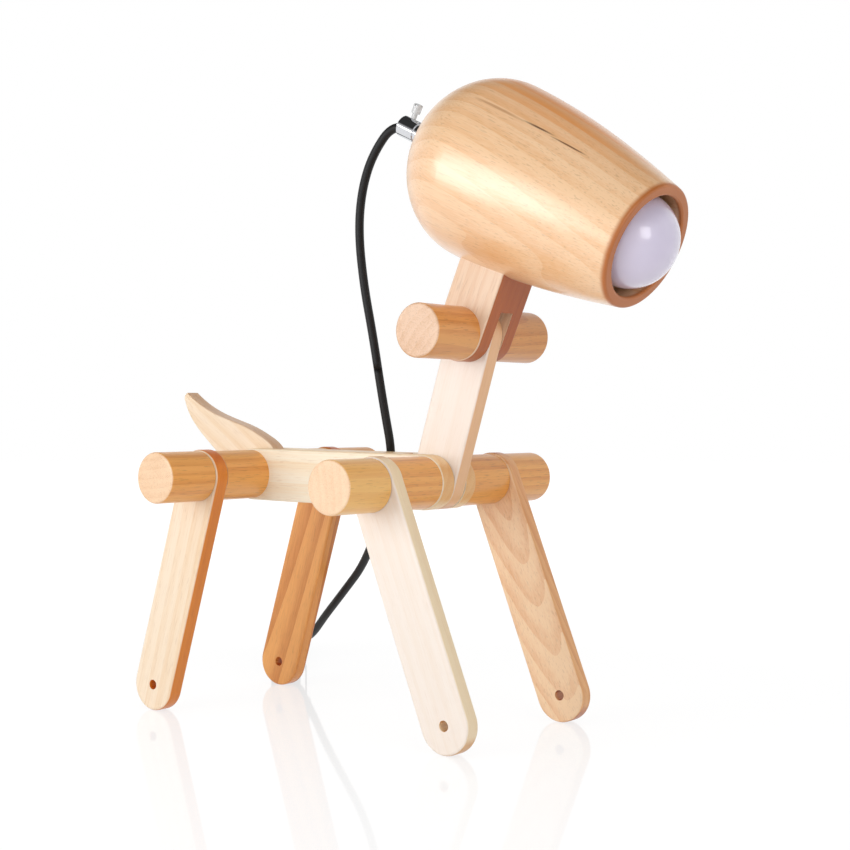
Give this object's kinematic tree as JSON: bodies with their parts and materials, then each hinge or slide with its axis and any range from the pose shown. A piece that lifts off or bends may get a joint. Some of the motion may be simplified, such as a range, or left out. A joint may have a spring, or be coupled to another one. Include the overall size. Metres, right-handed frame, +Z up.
{
  "type": "table_lamp",
  "caption": "Jointed wooden table lamp shaped like a standing dog, turned wooden shade with a frosted bulb, black mains cord with switch and plug",
  "frame": {"origin": "on the floor under the middle of the lamp's box without its cord", "axes": "X to the front, Y to the lamp's left, Z up, metres"},
  "size_m": [0.516, 0.3364, 0.4169],
  "materials": {
    "pale_wood": "satin clear coat",
    "tan_wood": "satin clear coat",
    "shade_wood": "gloss clear coat",
    "steel": "bright zinc",
    "chrome": "polished",
    "brass": "plain",
    "fibre": "matt",
    "clear_nylon": "translucent",
    "holder_black": "matt",
    "bulb_white": "frosted",
    "bulb_body": "satin",
    "bulb_cap_metal": "plain",
    "cord_black": "satin",
    "tie_black": "woven",
    "switch_black": "satin"
  },
  "bodies": {
    "trunk": {"cord_hank": "cord_black", "cord_lower": "cord_black", "cord_middle": "cord_black", "front_left_spacer": "tan_wood", "front_left_stub": "tan_wood", "front_right_spacer": "tan_wood", "front_right_stub": "tan_wood", "front_rod": "steel", "hank_tie": "tie_black", "plug_blades": "brass", "plug_body": "switch_black", "plug_relief": "switch_black", "rear_left_spacer": "tan_wood", "rear_left_stub": "tan_wood", "rear_right_spacer": "tan_wood", "rear_right_stub": "tan_wood", "rear_rod": "steel", "spine": "pale_wood", "switch_base": "switch_black", "switch_contacts": "brass", "switch_cover": "switch_black", "trunk_inserts": "brass", "trunk_washers": "fibre"},
    "rear_right_leg_body": {"rear_right_leg": "pale_wood"},
    "rear_left_leg_body": {"rear_left_leg": "tan_wood"},
    "front_right_leg_body": {"front_right_leg": "pale_wood"},
    "front_left_leg_body": {"front_left_leg": "tan_wood"},
    "tail_body": {"tail": "pale_wood"},
    "neck_body": {"neck": "pale_wood"},
    "head": {"head_fork": "pale_wood", "shade": "shade_wood", "fork_screws": "steel", "head_rod": "steel", "head_right_stub": "tan_wood", "head_left_stub": "tan_wood", "head_inserts": "brass", "head_washers": "fibre", "threaded_tube": "steel", "inner_washer": "steel", "inner_nut": "steel", "back_washer": "chrome", "cord_grip": "chrome", "holder_shell": "holder_black", "holder_cap": "holder_black", "holder_core": "holder_black", "thread_shell": "brass", "centre_contact": "brass", "cord_inner": "cord_black", "cord_upper": "cord_black"},
    "bulb": {"bulb_dome": "bulb_white", "bulb_housing": "bulb_body", "bulb_cap": "bulb_cap_metal", "bulb_insulator": "holder_black", "bulb_tip": "brass", "led_board": "bulb_body"},
    "grip_screw_body": {"thumb_screw": "clear_nylon"},
    "rocker_body": {"switch_rocker": "switch_black"}
  },
  "joints": [
    {"name": "rear_right_leg_swing", "type": "hinge", "parent": "trunk", "child": "rear_right_leg_body", "pos_m": [-0.1227, 0, 0.16407], "axis": [0, -1, 0], "range_deg": [-30, 24]},
    {"name": "rear_left_leg_swing", "type": "hinge", "parent": "trunk", "child": "rear_left_leg_body", "pos_m": [-0.1227, 0, 0.16407], "axis": [0, -1, 0], "range_deg": [-30, 24]},
    {"name": "front_right_leg_swing", "type": "hinge", "parent": "trunk", "child": "front_right_leg_body", "pos_m": [0.0285, 0, 0.16083], "axis": [0, -1, 0], "range_deg": [-24, 30]},
    {"name": "front_left_leg_swing", "type": "hinge", "parent": "trunk", "child": "front_left_leg_body", "pos_m": [0.0285, 0, 0.16083], "axis": [0, -1, 0], "range_deg": [-24, 30]},
    {"name": "tail_swing", "type": "hinge", "parent": "trunk", "child": "tail_body", "pos_m": [-0.1227, 0, 0.16407], "axis": [0, 1, 0], "range_deg": [-20, 22]},
    {"name": "neck_swing", "type": "hinge", "parent": "trunk", "child": "neck_body", "pos_m": [0.0285, 0, 0.16083], "axis": [0, 1, 0], "range_deg": [-24, 24], "deforming": ["cord_middle"]},
    {"name": "head_nod", "type": "hinge", "parent": "neck_body", "child": "head", "pos_m": [0.0586, 0, 0.2563], "axis": [0, 1, 0], "range_deg": [-30, 24], "deforming": ["cord_upper"]},
    {"name": "bulb_turn", "type": "hinge", "parent": "head", "child": "bulb", "pos_m": [0.1851, 0, 0.30271], "axis": [0.8894, 0, -0.4571], "continuous": true},
    {"name": "grip_screw_turn", "type": "hinge", "parent": "head", "child": "grip_screw_body", "pos_m": [0.00633, 0, 0.39458], "axis": [0.4571, 0, 0.8894], "continuous": true},
    {"name": "rocker_tip", "type": "hinge", "parent": "trunk", "child": "rocker_body", "pos_m": [-0.05952, 0.04915, 0.1423], "axis": [-0.5978, -0.8016, 0], "range_deg": [0, 16]}
  ]
}
